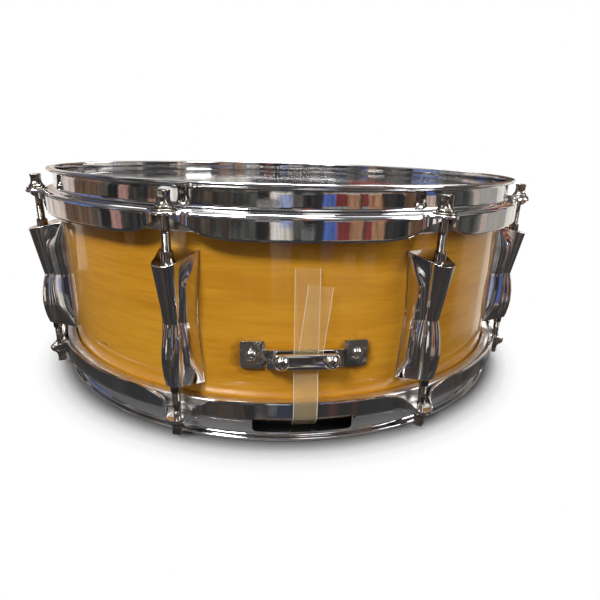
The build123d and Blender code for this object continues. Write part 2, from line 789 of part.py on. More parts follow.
def make_throw_lever():
    """Hub between the flanges and a curved arm that stands upright when the snares are on."""
    half = housing_half_width - flange_wall - 0.3
    hub = 4.2
    with BuildPart() as lever:
        with BuildSketch(Plane.YZ):
            with BuildLine():
                Polyline((pivot_radius, pivot_height), (pivot_radius + 2.0, 92.0), (204.0, 118.0),
                         (207.6, 126.0))
            trace(line_width=3.2)
            with Locations((207.6, 126.0)):
                Circle(2.6)
        extrude(amount=half - 2.4, both=True)
        with BuildSketch(Plane.YZ):
            with Locations((pivot_radius, pivot_height)):
                Circle(hub)
        extrude(amount=half, both=True)
        with BuildSketch(Plane.YZ):
            with Locations((pivot_radius, pivot_height)):
                Circle(2.05)
        extrude(amount=half + 2, both=True, mode=Mode.SUBTRACT)
    save(lever, "throw_lever")


def make_tension_knob():
    """Knurled knob on the carriage and the screw it turns."""
    knob_radius = 7.0
    knob_low = carriage_high + 0.3
    with BuildPart() as knob:
        with BuildSketch(Plane.XY.offset(knob_low)):
            with Locations((0, screw_axis)):
                Circle(5.0)
                Circle(2.55, mode=Mode.SUBTRACT)
        extrude(amount=3.0)
        with BuildSketch(Plane.XY.offset(knob_low + 3.0)):
            with Locations((0, screw_axis)):
                Circle(knob_radius)
                with PolarLocations(knob_radius, 20):
                    Circle(0.55, mode=Mode.SUBTRACT)
                Circle(2.55, mode=Mode.SUBTRACT)
        extrude(amount=11.0)
        chamfer(knob.edges().group_by(Axis.Z)[-1].filter_by(GeomType.CIRCLE).sort_by(SortBy.LENGTH)[:1], 0.2)
    save(knob, "tension_knob")
    with BuildPart() as screw:
        with BuildSketch(Plane.XY.offset(strap_block_low - 1.0)):
            with Locations((0, screw_axis)):
                Circle(2.5)
        extrude(amount=knob_low + 14.0 - strap_block_low + 1.0)
        with BuildSketch(Plane.XY.offset(knob_low + 14.05)):
            with Locations((0, screw_axis)):
                Circle(3.6)
        extrude(amount=1.4)
        with BuildSketch(Plane.XY.offset(knob_low + 13.5)):
            with Locations((0, screw_axis)):
                Circle(2.5)
        extrude(amount=1.0)
    save(screw, "tension_screw")


def make_strap_clamp():
    """Block threaded on the tension screw, with a bar and two screws that grip the strap."""
    half = 11.6
    back = 183.4
    with BuildPart() as block:
        with BuildSketch(Plane.XY.offset(strap_block_low)):
            with Locations((0, (back + strap_block_front) / 2)):
                RectangleRounded(2 * half, strap_block_front - back, 0.8)
            with Locations((0, screw_axis)):
                Circle(2.55, mode=Mode.SUBTRACT)
        extrude(amount=strap_block_high - strap_block_low)
        height = (strap_block_low + strap_block_high) / 2
        with BuildSketch(facing_plane(strainer_bearing, strap_block_front - 4.5, height)):
            with Locations((-9.2, 0), (9.2, 0)):
                Circle(1.55)
        extrude(amount=6, mode=Mode.SUBTRACT)
    save(block, "strap_clamp_block")
    bar_back = strap_block_front + 1.0
    bar = clamp_bar(strainer_bearing, bar_back, height, half, 8.4, 2.4, 9.2, 1.7)
    save(bar, "strap_clamp_bar")
    screws = [pan_screw(strainer_bearing, bar_back + 2.42, height, 2.3, 2.0, 1.5, 7.0, side * 9.2)
              for side in (-1, 1)]
    save_group(screws, "strap_clamp_screws")


# ---- the whole drum -------------------------------------------------------------------------------
make_shell()
make_vent_grommet()
make_hoop(True, "top_hoop")
make_hoop(False, "bottom_hoop")
make_head(True, "batter_head")
make_head(False, "snare_head")
make_flesh_hoop(True, "batter_flesh_hoop")
make_flesh_hoop(False, "snare_flesh_hoop")
for number, bearing in enumerate(lug_bearings, start=1):
    make_lug(bearing, f"lug_{number}")
    make_rod(bearing, True, f"batter_rod_{number}")
    make_rod(bearing, False, f"snare_rod_{number}")
make_swivel_nuts()
make_lug_springs()
make_lug_screws()
make_lug_screw_washers()
make_rod_washers(True, "batter_rod_washers")
make_rod_washers(False, "snare_rod_washers")
make_butt_bracket()
make_butt_clamp()
make_butt_mounting()
make_butt_strap()
make_strainer_strap()
make_snares()
make_strainer_housing()
make_slide_carriage()
make_throw_lever()
make_tension_knob()
make_strap_clamp()
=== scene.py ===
import json
import math
import bmesh
import bpy
import numpy as np
from mathutils import Matrix, Vector


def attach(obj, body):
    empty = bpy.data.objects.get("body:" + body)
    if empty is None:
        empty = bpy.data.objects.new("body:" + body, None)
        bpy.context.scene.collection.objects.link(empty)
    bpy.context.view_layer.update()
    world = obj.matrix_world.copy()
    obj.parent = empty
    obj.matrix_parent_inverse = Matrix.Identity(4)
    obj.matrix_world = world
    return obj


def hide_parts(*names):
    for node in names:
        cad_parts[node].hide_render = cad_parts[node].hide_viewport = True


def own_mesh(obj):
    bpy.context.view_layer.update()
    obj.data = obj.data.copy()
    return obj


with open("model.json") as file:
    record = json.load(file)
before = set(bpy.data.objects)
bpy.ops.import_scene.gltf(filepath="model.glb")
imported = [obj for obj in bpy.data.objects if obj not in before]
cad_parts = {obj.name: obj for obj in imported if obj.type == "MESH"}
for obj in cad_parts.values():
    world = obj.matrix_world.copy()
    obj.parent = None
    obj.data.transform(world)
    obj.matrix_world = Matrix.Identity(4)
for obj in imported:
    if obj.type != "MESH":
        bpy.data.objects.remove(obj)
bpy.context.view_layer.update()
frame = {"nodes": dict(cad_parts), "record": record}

rng = np.random.default_rng(7)

# sizes are in millimetres, and MM turns them into the frame's metres
MM = 0.001
MERGE = 0.004
HEIGHT = 147.2
ROD_CIRCLE = 189.6
SHELL = 177.0
SHELL_INSIDE = 171.0
LEDGE = 13.8
EAR_RADIUS = 7.2
EAR_HALF = 6.6
SKIRT_RADIUS = 186.96
GATE_HALF = 29.8
THREAD_PITCH = 1.06
STRAP_WIDTH = 13.8
WIRE_COUNT, WIRE_SPACING = 20, 2.1
# bearings run from the butt plate's side (-Y) towards +X
BEARINGS = [22.5 + 45.0 * i for i in range(8)]
BUTT, STRAINER = 0.0, 180.0


# ---- node helpers --------------------------------------------------------------------------
class Nodes:
    """Short forms for adding nodes to an emptied tree."""

    def __init__(self, tree, coords):
        self.tree = tree
        self.tree.nodes.clear()
        self.coords = self.add("ShaderNodeTexCoord").outputs[coords]

    def add(self, kind, inputs=None, **attrs):
        node = self.tree.nodes.new(kind)
        for key, value in attrs.items():
            setattr(node, key, value)
        for key, value in (inputs or {}).items():
            if isinstance(value, bpy.types.NodeSocket):
                self.link(value, node.inputs[key])
            else:
                node.inputs[key].default_value = value
        return node

    def link(self, a, b):
        self.tree.links.new(a, b)

    def math(self, operation, a, b=0.0, clamp=False):
        node = self.add("ShaderNodeMath", operation=operation, use_clamp=clamp)
        for i, value in enumerate((a, b)):
            if isinstance(value, bpy.types.NodeSocket):
                self.link(value, node.inputs[i])
            else:
                node.inputs[i].default_value = value
        return node.outputs[0]

    def scaled(self, x, y, z, source=None):
        node = self.add("ShaderNodeMapping", {"Vector": source or self.coords})
        node.inputs["Scale"].default_value = (x, y, z)
        return node.outputs[0]

    def noise(self, scale, detail=3.0, rough=0.5, vector=None, distortion=0.0):
        return self.add("ShaderNodeTexNoise", {"Vector": vector or self.coords, "Scale": scale,
                        "Detail": detail, "Roughness": rough, "Distortion": distortion}).outputs["Fac"]

    def ramp(self, value, *stops):
        """Colours (place, (r, g, b)) along a value."""
        node = self.add("ShaderNodeValToRGB", {"Fac": value})
        band = node.color_ramp
        while len(band.elements) < len(stops):
            band.elements.new(0.5)
        for element, (at, colour) in zip(band.elements, stops):
            element.position = at
            element.color = (*colour, 1.0)
        return node.outputs["Color"]

    def grey(self, value, *stops):
        return self.ramp(value, *[(at, (g, g, g)) for at, g in stops])

    def mix(self, factor, a, b, blend="MIX"):
        node = self.add("ShaderNodeMix", data_type="RGBA", blend_type=blend)
        for key, value in ((0, factor), (6, a), (7, b)):
            if isinstance(value, bpy.types.NodeSocket):
                self.link(value, node.inputs[key])
            else:
                node.inputs[key].default_value = value if key == 0 else (*value, 1.0)
        return node.outputs[2]

    def bump(self, height, strength, distance, normal=None):
        inputs = {"Height": height, "Strength": strength, "Distance": distance}
        if normal is not None:
            inputs["Normal"] = normal
        return self.add("ShaderNodeBump", inputs).outputs[0]

    def length(self, vector):
        return self.add("ShaderNodeVectorMath", {0: vector}, operation="LENGTH").outputs["Value"]

    def split(self, vector):
        return self.add("ShaderNodeSeparateXYZ", {"Vector": vector}).outputs


class Material(Nodes):
    """A node material on one Principled shader, in the object's own coordinates."""

    def __init__(self, name):
        self.material = bpy.data.materials.new(name)
        self.material.use_nodes = True
        super().__init__(self.material.node_tree, "Object")
        self.shader = self.add("ShaderNodeBsdfPrincipled")
        out = self.add("ShaderNodeOutputMaterial")
        self.link(self.shader.outputs[0], out.inputs["Surface"])

    def set(self, **values):
        for key, value in values.items():
            socket = self.shader.inputs[key.replace("_", " ")]
            if isinstance(value, bpy.types.NodeSocket):
                self.link(value, socket)
            else:
                socket.default_value = value


# ---- materials -----------------------------------------------------------------------------
def chrome(name, tone, rough, wobble, wear, rust=0.0, thread=False):
    """Mirror plate with smudges and pits; wobble is the (scale, depth) of its slow waves."""
    m = Material(name)
    smudge = m.noise(38.0, 4.0, 0.6)
    fine = m.noise(900.0, 3.0, 0.6)
    pits = m.add("ShaderNodeTexVoronoi", {"Vector": m.coords, "Scale": 520.0}).outputs["Distance"]
    pit = m.grey(m.math("ADD", pits, m.math("MULTIPLY", m.noise(60.0, 2.0), 0.5)),
                 (0.10 + 0.10 * wear, 1.0), (0.20 + 0.12 * wear, 0.0))
    colour = m.mix(smudge, tuple(c * 0.80 for c in tone), tone)
    colour = m.mix(m.math("MULTIPLY", pit, 0.35 + 0.4 * wear), colour, (0.16, 0.12, 0.09))
    smeared = m.math("MULTIPLY", m.grey(smudge, (0.35, 0.0), (0.75, 1.0)), rough * 1.2)
    base_rough = m.math("ADD", smeared, rough)
    base_rough = m.math("ADD", base_rough, m.math("MULTIPLY", pit, 0.30))
    metal = 1.0
    if rust:
        spots = m.grey(m.noise(210.0, 6.0, 0.66), (0.62 - 0.10 * rust, 0.0), (0.70 - 0.08 * rust, 1.0))
        patch = m.grey(m.noise(48.0, 3.0, 0.6), (0.42, 0.0), (0.62, 1.0))
        eaten = m.math("MULTIPLY", spots, patch, clamp=True)
        brown = m.ramp(m.noise(700.0, 3.0), (0.3, (0.035, 0.018, 0.010)), (0.7, (0.20, 0.085, 0.03)))
        colour = m.mix(eaten, colour, brown)
        base_rough = m.math("ADD", base_rough, m.math("MULTIPLY", eaten, 0.5), clamp=True)
        metal = m.math("SUBTRACT", 1.0, m.math("MULTIPLY", eaten, 0.9))
    if thread:
        # painted shade in the grooves of the cut threads, which lie 39 to 49 mm above and below the middle
        z = m.split(m.coords)["Z"]
        turns = m.math("FRACT", m.math("MULTIPLY", z, 1.0 / (THREAD_PITCH * MM)))
        painted_groove_shade = m.grey(turns, (0.25, 0.0), (0.45, 1.0), (0.55, 1.0), (0.75, 0.0))
        away = m.math("ABSOLUTE", m.math("SUBTRACT", z, HEIGHT / 2 * MM))
        threaded = m.grey(m.math("MULTIPLY", away, 10.0),
                          (0.388, 0.0), (0.392, 1.0), (0.490, 1.0), (0.494, 0.0))
        painted_groove_shade = m.math("MULTIPLY", painted_groove_shade, threaded)
        colour = m.mix(m.math("MULTIPLY", painted_groove_shade, 0.85), colour, (0.03, 0.026, 0.022))
    m.set(Base_Color=colour, Metallic=metal, Roughness=base_rough)
    waves = m.bump(m.noise(wobble[0], 1.5, 0.4), 1.0, wobble[1])
    m.set(Normal=m.bump(fine, 0.25, 0.00002 + 0.00004 * wear, waves))
    return m.material


def wood():
    m = Material("honey lacquer on maple")
    # the shell unrolled: distance round it, then height
    parts = m.split(m.coords)
    bearing = m.math("ARCTAN2", parts["X"], m.math("MULTIPLY", parts["Y"], -1.0))
    around = m.math("MULTIPLY", bearing, SHELL * MM)
    flat = m.add("ShaderNodeCombineXYZ", {"X": around, "Y": parts["Z"]}).outputs[0]
    broad = m.noise(1.0, 3.0, 0.5, m.scaled(9.0, 60.0, 1.0, flat), 0.35)
    streak = m.noise(1.0, 4.0, 0.6, m.scaled(26.0, 420.0, 1.0, flat), 0.3)
    hair = m.noise(1.0, 3.0, 0.6, m.scaled(70.0, 2400.0, 1.0, flat))
    cloud = m.noise(1.0, 2.0, 0.5, m.scaled(12.0, 16.0, 1.0, flat), 0.6)
    colour = m.ramp(broad, (0.25, (0.590, 0.245, 0.014)), (0.50, (0.720, 0.330, 0.020)),
                    (0.78, (0.800, 0.405, 0.036)))
    colour = m.mix(m.grey(streak, (0.30, 0.40), (0.60, 0.0)), colour, (0.44, 0.155, 0.007))
    colour = m.mix(m.grey(hair, (0.30, 0.30), (0.52, 0.0)), colour, (0.34, 0.115, 0.006))
    colour = m.mix(m.grey(cloud, (0.35, 0.0), (0.75, 0.45)), colour, (0.84, 0.45, 0.040))
    # a dark stain round the butt plate's two screws, and a few nicks in the lacquer
    stain = None
    for side in (-1, 1):
        screw = (side * 0.0305, 0.0520, 0.0)
        apart = m.add("ShaderNodeVectorMath", {0: flat, 1: screw}, operation="SUBTRACT")
        ragged = m.math("MULTIPLY", m.math("SUBTRACT", m.noise(230.0, 4.0, 0.7), 0.5), 0.010)
        worn = m.math("ADD", m.length(apart.outputs[0]), ragged)
        ring = m.grey(m.math("MULTIPLY", worn, 40.0), (0.30, 1.0), (0.52, 0.0))
        stain = ring if stain is None else m.math("MAXIMUM", stain, ring)
    colour = m.mix(m.math("MULTIPLY", stain, 0.62), colour, (0.085, 0.036, 0.010))
    nicks = m.grey(m.noise(1.0, 2.0, 0.5, m.scaled(60.0, 110.0, 1.0, flat)), (0.735, 0.0), (0.755, 1.0))
    colour = m.mix(m.math("MULTIPLY", nicks, 0.5), colour, (0.14, 0.055, 0.015))
    # the bearing edges and the inside are bare wood
    radius = m.length(m.scaled(1.0, 1.0, 0.0))
    inside = m.grey(m.math("MULTIPLY", radius, 1.0 / 0.2), (0.8795, 1.0), (0.8815, 0.0))
    colour = m.mix(inside, colour, m.ramp(streak, (0.3, (0.50, 0.33, 0.17)), (0.7, (0.66, 0.47, 0.27))))
    m.set(Base_Color=colour, Roughness=m.math("ADD", 0.30, m.math("MULTIPLY", inside, 0.35)),
          Coat_Weight=m.math("SUBTRACT", 1.0, inside), Coat_Roughness=0.018, Coat_IOR=1.52,
          Specular_IOR_Level=0.15)
    ripple = m.bump(m.noise(1.0, 2.0, 0.5, m.scaled(16.0, 34.0, 1.0, flat)), 1.0, 0.00009)
    m.link(m.bump(m.math("SUBTRACT", hair, m.math("MULTIPLY", nicks, 4.0)), 0.25, 0.00002, ripple),
           m.shader.inputs["Coat Normal"])
    m.set(Normal=m.bump(hair, 0.3, 0.00003, ripple))
    return m.material


def film(name, dark, light, alpha, rough):
    """Drum head film with fine scuffs."""
    m = Material(name)
    cloud = m.noise(16.0, 4.0, 0.6)
    scuff = m.grey(m.noise(1.0, 4.0, 0.7, m.scaled(420.0, 60.0, 60.0)), (0.60, 0.0), (0.72, 1.0))
    colour = m.mix(cloud, dark, light)
    colour = m.mix(m.math("MULTIPLY", scuff, 0.35), colour, tuple(min(1.0, c * 2.0 + 0.03) for c in light))
    m.set(Base_Color=colour, Roughness=m.math("ADD", rough, m.math("MULTIPLY", cloud, 0.10)), Alpha=alpha,
          Coat_Weight=0.2, Coat_Roughness=0.05)
    m.set(Normal=m.bump(m.noise(28.0, 2.0), 0.5, 0.00004, m.bump(m.noise(1600.0, 2.0), 0.10, 0.00001)))
    return m.material


def plain_metal(name, dark, light, rough, stretch, depth):
    """Unpolished metal; stretch is the scale of its brushing along each axis."""
    m = Material(name)
    brush = m.noise(1.0, 4.0, 0.6, m.scaled(*stretch))
    stain = m.noise(70.0, 4.0, 0.6)
    colour = m.mix(brush, dark, light)
    colour = m.mix(m.grey(stain, (0.55, 0.0), (0.75, 0.45)), colour, tuple(c * 0.5 for c in dark))
    m.set(Base_Color=colour, Metallic=1.0, Roughness=m.math("ADD", rough, m.math("MULTIPLY", stain, 0.18)))
    m.set(Normal=m.bump(brush, 0.4, depth))
    return m.material


def strap_plastic():
    m = Material("clear strap")
    cloud = m.noise(90.0, 4.0, 0.6)
    haze = m.grey(m.noise(1.0, 4.0, 0.7, m.scaled(700.0, 700.0, 90.0)), (0.50, 0.0), (0.75, 1.0))
    # painted highlight: the strip's cut edges, whose faces look sideways, get a paler colour and more
    # opacity
    facing = m.split(m.add("ShaderNodeNewGeometry").outputs["True Normal"])
    edge = m.grey(m.math("ABSOLUTE", facing["X"]), (0.22, 0.0), (0.30, 1.0))
    colour = m.mix(cloud, (0.80, 0.60, 0.29), (0.90, 0.74, 0.42))
    colour = m.mix(m.math("MULTIPLY", haze, 0.3), colour, (0.95, 0.90, 0.80))
    # painted edge highlight
    colour = m.mix(edge, colour, (0.97, 0.93, 0.82))
    m.set(Base_Color=colour, Roughness=m.math("ADD", 0.16, m.math("MULTIPLY", cloud, 0.16)),
          Alpha=m.math("ADD", 0.10, m.math("MULTIPLY", edge, 0.40)),
          IOR=1.5, Coat_Weight=0.3, Coat_Roughness=0.08)
    m.set(Normal=m.bump(m.noise(160.0, 3.0), 0.4, 0.00012))
    return m.material


MATERIALS = {
    "shell_wood": wood(),
    "hoop_chrome": chrome("hoop chrome", (0.80, 0.80, 0.81), 0.030, (34.0, 0.00022), 0.25),
    "lug_chrome": chrome("lug chrome", (0.80, 0.79, 0.80), 0.035, (120.0, 0.00006), 0.35),
    # rod chrome: a darker tone, partly its wear and partly painted shade for the dark surroundings it
    # mirrors
    "rod_chrome": chrome("rod chrome", (0.36, 0.33, 0.29), 0.09, (300.0, 0.00003), 0.7, 0.15, thread=True),
    "chrome_trim": chrome("trim chrome", (0.78, 0.78, 0.79), 0.040, (110.0, 0.00006), 0.3),
    "worn_chrome": chrome("worn chrome", (0.74, 0.73, 0.70), 0.05, (150.0, 0.00003), 0.45, 0.6),
    "zinc_fasteners": plain_metal("zinc", (0.46, 0.46, 0.44), (0.64, 0.63, 0.60), 0.28, (500.0,) * 3,
                                  0.00003),
    "spring_steel": plain_metal("spring wire", (0.26, 0.26, 0.27), (0.44, 0.43, 0.42), 0.25, (800.0,) * 3,
                                0.00002),
    "flesh_aluminium": plain_metal("rolled aluminium", (0.62, 0.58, 0.55), (0.80, 0.77, 0.74), 0.26,
                                   (40.0, 40.0, 1400.0), 0.00003),
    "snare_steel": plain_metal("snare steel", (0.52, 0.51, 0.49), (0.76, 0.75, 0.73), 0.18, (900.0,) * 3,
                               0.00002),
    "batter_film": film("dark head", (0.016, 0.016, 0.017), (0.034, 0.034, 0.036), 1.0, 0.06),
    "snare_film": film("clear head", (0.62, 0.62, 0.60), (0.80, 0.80, 0.79), 0.30, 0.10),
    "strap_plastic": strap_plastic(),
}

SLOTS = {row["node"]: row["material_slot"] for row in frame["record"]["subparts"]}


def paint_cad_nodes():
    """The CAD nodes that no finer piece replaces show their slot's material too."""
    for name, slot in SLOTS.items():
        node = frame["nodes"].get(name)
        if node is not None:
            node.data.materials.clear()
            node.data.materials.append(MATERIALS[slot])


# ---- mesh helpers --------------------------------------------------------------------------
def outward(bearing, radius, height):
    """The point at a bearing in degrees, a distance from the drum's axis and a height."""
    a = math.radians(bearing)
    return (radius * math.sin(a), -radius * math.cos(a), height)


def build(name, verts, faces, slot, body, replaces, sharp=None, bevel=None):
    """A piece from millimetre points, on its body, in place of the CAD nodes it is the look of."""
    mesh = bpy.data.meshes.new(name)
    mesh.from_pydata([tuple(float(c) * MM for c in v) for v in verts], [], faces)
    bm = bmesh.new()
    bm.from_mesh(mesh)
    bmesh.ops.remove_doubles(bm, verts=bm.verts, dist=MERGE * MM)
    bmesh.ops.dissolve_degenerate(bm, edges=bm.edges, dist=MERGE / 2 * MM)
    bmesh.ops.recalc_face_normals(bm, faces=bm.faces)
    return finish_mesh(name, mesh, bm, slot, body, replaces, sharp, bevel)


def soften(obj, width):
    """Small round edges wherever two faces meet at more than 24 degrees."""
    mod = obj.modifiers.new("edges", "BEVEL")
    mod.width, mod.segments, mod.limit_method = width * MM, 2, "ANGLE"
    mod.angle_limit = math.radians(24)
    mod.harden_normals = True


def finish_mesh(name, mesh, bm, slot, body, replaces, sharp, bevel):
    """Shading, the slot's material and the body of a piece; sharp is the angle past which an edge is
    creased.
    """
    for face in bm.faces:
        face.smooth = True
    if sharp:
        limit = math.radians(sharp)
        for edge in bm.edges:
            if len(edge.link_faces) == 2 and edge.calc_face_angle(0.0) > limit:
                edge.smooth = False
    bm.to_mesh(mesh)
    bm.free()
    obj = bpy.data.objects.new(name, mesh)
    bpy.context.scene.collection.objects.link(obj)
    mesh.materials.append(MATERIALS[slot])
    if bevel:
        soften(obj, bevel)
    if body:
        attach(obj, body)
    if replaces:
        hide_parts(*replaces)
    return obj


def grid(points, close_u=True, close_v=True, cap=False):
    """Verts and faces of a net of points [u][v]; cap closes the first and last u rows."""
    n, m = points.shape[:2]
    verts = points.reshape(-1, 3)
    faces = []
    for i in range(n if close_u else n - 1):
        k = (i + 1) % n
        for j in range(m if close_v else m - 1):
            h = (j + 1) % m
            faces.append((i * m + j, k * m + j, k * m + h, i * m + h))
    if cap:
        faces.append(tuple(range(m)))
        faces.append(tuple((n - 1) * m + j for j in range(m)))
    return verts, faces


def joined(pieces):
    """Several nets as one."""
    verts, faces, base = [], [], 0
    for v, f in pieces:
        verts.extend(np.asarray(v))
        faces.extend(tuple(base + i for i in face) for face in f)
        base += len(v)
    return verts, faces


def lathe(profile, segments, centre=(0.0, 0.0)):
    """A closed (radius, height) profile turned round an upright axis."""
    profile = np.array(profile, float)
    angles = np.linspace(0, 2 * math.pi, segments, endpoint=False)
    points = np.zeros((segments, len(profile), 3))
    points[:, :, 0] = centre[0] + np.outer(np.sin(angles), profile[:, 0])
    points[:, :, 1] = centre[1] - np.outer(np.cos(angles), profile[:, 0])
    points[:, :, 2] = profile[None, :, 1]
    return grid(points)


def rounded(points, radii, steps=6):
    """An open line with its inner corners cut by quadratic bends."""
    points = [np.array(p, float) for p in points]
    out = [points[0]]
    for before, corner, after, radius in zip(points, points[1:], points[2:], radii):
        a, b = before - corner, after - corner
        cut = min(radius, 0.48 * np.linalg.norm(a), 0.48 * np.linalg.norm(b))
        start, end = corner + a / np.linalg.norm(a) * cut, corner + b / np.linalg.norm(b) * cut
        for t in np.linspace(0, 1, steps + 1):
            out.append((1 - t) ** 2 * start + 2 * t * (1 - t) * corner + t * t * end)
    out.append(points[-1])
    return np.array(out)


def refine(node, width, tidy=1.0):
    """A copy of a CAD node with softened edges, standing in for it; faces within tidy degrees are joined."""
    body = next(b for b, nodes in frame["record"]["behaviour"]["bodies"].items() if node in nodes)
    mesh = bpy.data.meshes.new(node + "_fine")
    bm = bmesh.new()
    bm.from_mesh(frame["nodes"][node].data)
    bmesh.ops.remove_doubles(bm, verts=bm.verts, dist=MERGE * MM)
    bmesh.ops.dissolve_limit(bm, angle_limit=math.radians(tidy), verts=bm.verts, edges=bm.edges)
    return finish_mesh(node + "_fine", mesh, bm, SLOTS[node], body, [node], None if width else 24, width)


# ---- shell ---------------------------------------------------------------------------------
def make_shell():
    # from the outer wall over the bearing edge to the inner wall, which the top mirrors
    edge = [(SHELL, 12.2), (176.7, 11.2), (176.1, 10.4), (175.4, 10.12), (174.6, 10.4), (171.4, 13.4),
            (SHELL_INSIDE, 14.2)]
    top_edge = [(r, HEIGHT - z) for r, z in reversed(edge)]
    outer_wall = [(SHELL, z) for z in (110.0, 80.0, 50.0)]
    verts, faces = lathe(edge + [(SHELL_INSIDE, HEIGHT / 2)] + top_edge + outer_wall, 512)
    build("shell_fine", verts, faces, "shell_wood", "drum", ["shell"], sharp=40)


# ---- hoops ---------------------------------------------------------------------------------
def smooth_step(x, low, high):
    t = np.clip((x - low) / (high - low), 0.0, 1.0)
    return t * t * (3 - 2 * t)


def hoop_section(offset):
    """(radius, depth) round the sheet at a distance along the rod circle from the nearest rod."""
    a = abs(offset)
    # the ledge's outer edge: a round ear at the rod that runs into the skirt
    if a < EAR_HALF:
        edge = ROD_CIRCLE + math.sqrt(EAR_RADIUS ** 2 - a ** 2)
    else:
        edge = float(np.interp(a, [EAR_HALF, 7.6, 9.0, 10.6, 12.4, 15.0],
                               [192.4, 190.4, 188.5, 187.5, 187.05, SKIRT_RADIUS]))
    top = LEDGE + 0.6 * (1 - smooth_step(a, 6.8, 8.6))
    # the skirt's lower edge, scalloped: it falls away quickly beside the ear
    low = min(16.5 + 12.1 * (1 - math.exp(-max(0.0, a - 4.9) / 8.6)) * 1.012, 28.3)
    bend = min(2.6, 0.42 * (low - top))
    soft = smooth_step(a, 8.0, 15.0)
    roll, drop = bend + 2.0 * soft, bend + 0.7 * soft
    # rolled rim, then the collar
    pts = [(177.6, 1.3), (177.72, 0.55), (178.25, 0.1), (179.1, 0.0), (180.6, 0.0), (181.9, 0.0),
           (182.55, 0.14), (182.92, 0.55), (183.0, 1.1), (182.92, 1.65), (182.55, 2.06), (181.9, 2.2),
           (180.9, 2.22), (180.1, 2.4), (179.6, 2.85), (179.4, 3.6), (179.36, 5.8), (179.34, 8.0),
           (179.36, 10.2), (179.4, 11.9), (179.55, 12.8), (179.95, 13.4), (180.6, 13.72), (181.5, LEDGE)]
    # ledge, bend and skirt
    for t in (0.25, 0.5, 0.75):
        r = 181.5 + (edge - roll - 181.5) * t
        pts.append((r, LEDGE + (top - LEDGE) * t))
    for k in range(7):
        q = math.radians(90 * k / 6)
        pts.append((edge - roll + roll * math.sin(q), top + drop * (1 - math.cos(q))))
    for t in (0.12, 0.3, 0.5, 0.7, 0.88):
        pts.append((edge, top + drop + (low - 0.5 - top - drop) * t))
    pts += [(edge, low - 0.5), (edge - 0.2, low - 0.12), (edge - 0.7, low), (edge - 1.2, low - 0.05),
            (edge - 1.6, low - 0.35)]
    # and back inside the sheet
    under = min(low - 0.45, top + 3.0)
    pts += [(edge - 1.75, low - 0.45 - 0.5 * (low - 0.45 - under)), (edge - 1.85, under),
            (edge - 2.3, min(under, top + 2.2)), (edge - 3.2, top + 1.8), (183.0, 15.62), (178.0, 15.6),
            (177.6, 15.3), (177.6, 11.0), (177.6, 6.0)]
    return pts


def hoop_net(top):
    """Sections all round, close together near the rods and further apart between them."""
    near, between = np.arange(-17, 17.01, 0.55), np.arange(-74.4, -17, 3.4)
    offsets = sorted({round(s, 3) for s in [*near, *between, *(-between)]})
    rows = []
    for bearing in BEARINGS:
        for s in offsets:
            angle = bearing + math.degrees(s / ROD_CIRCLE)
            section = hoop_section(s)
            rows.append([outward(angle, r, HEIGHT - d if top else d) for r, d in section])
    return grid(np.array(rows))


def cut(obj, cutters):
    """Carve boxes (low corner, high corner, corner radius) out of a piece."""
    for low, high, radius in cutters:
        mesh = bpy.data.meshes.new("cutter")
        x0, y0, z0 = low
        x1, y1, z1 = high
        ring = []
        for cx, cz, start in ((x1 - radius, z1 - radius, 0), (x0 + radius, z1 - radius, 90),
                              (x0 + radius, z0 + radius, 180), (x1 - radius, z0 + radius, 270)):
            for k in range(7):
                q = math.radians(start + 15 * k)
                ring.append((cx + radius * math.cos(q), cz + radius * math.sin(q)))
        rows = np.array([[(x, y, z) for x, z in ring] for y in (y0, y1)])
        verts, faces = grid(rows, close_u=False, cap=True)
        mesh.from_pydata([tuple(c * MM for c in v) for v in verts], [], faces)
        bm = bmesh.new()
        bm.from_mesh(mesh)
        bmesh.ops.recalc_face_normals(bm, faces=bm.faces)
        bm.to_mesh(mesh)
        bm.free()
        tool = bpy.data.objects.new("cutter", mesh)
        bpy.context.scene.collection.objects.link(tool)
        mod = obj.modifiers.new("cut", "BOOLEAN")
        mod.operation, mod.solver, mod.object = "DIFFERENCE", "EXACT", tool
        graph = bpy.context.evaluated_depsgraph_get()
        done = bpy.data.meshes.new_from_object(obj.evaluated_get(graph))
        obj.modifiers.remove(mod)
        bpy.data.objects.remove(tool)
        old = obj.data
        obj.data = done
        bpy.data.meshes.remove(old)
    bm = bmesh.new()
    bm.from_mesh(obj.data)
    for face in bm.faces:
        face.smooth = True
    for edge in bm.edges:
        edge.smooth = len(edge.link_faces) != 2 or edge.calc_face_angle(0.0) < math.radians(40)
    bm.to_mesh(obj.data)
    bm.free()


def make_hoops():
    for top, name in ((True, "top_hoop"), (False, "bottom_hoop")):
        verts, faces = hoop_net(top)
        hoop = build(name + "_fine", verts, faces, "hoop_chrome", "drum", [name], sharp=48)
    # the lower hoop has a gate for the strap on the butt's side and one on the strainer's
    cut(hoop, [((-GATE_HALF, -192.0, 4.2), (GATE_HALF, -168.0, 18.6), 2.5),
               ((-GATE_HALF, 168.0, 4.2), (GATE_HALF, 192.0, 18.6), 2.5)])


# ---- heads and their hoops -----------------------------------------------------------------
HEAD = [(0.0, 9.76), (60.0, 9.76), (120.0, 9.76), (174.4, 9.76), (175.8, 10.0), (176.8, 10.6), (177.3, 11.5),
        (177.44, 12.6), (177.44, 21.75), (177.14, 21.75), (177.14, 12.7), (177.0, 11.8), (176.5, 11.0),
        (175.7, 10.35), (174.4, 10.05), (120.0, 10.05), (60.0, 10.05), (0.0, 10.05)]
FLESH_HOOP = [(177.65, 16.8), (177.9, 16.0), (178.6, 15.72), (182.4, 15.72), (183.2, 15.95), (183.58, 16.7),
              (183.6, 20.0), (183.58, 24.7), (183.2, 25.45), (182.4, 25.68), (178.6, 25.68), (177.9, 25.4),
              (177.65, 24.6)]


def from_end(section, top):
    """A section of (radius, depth from the drum's end) as (radius, height)."""
    return [(r, HEIGHT - d if top else d) for r, d in section]


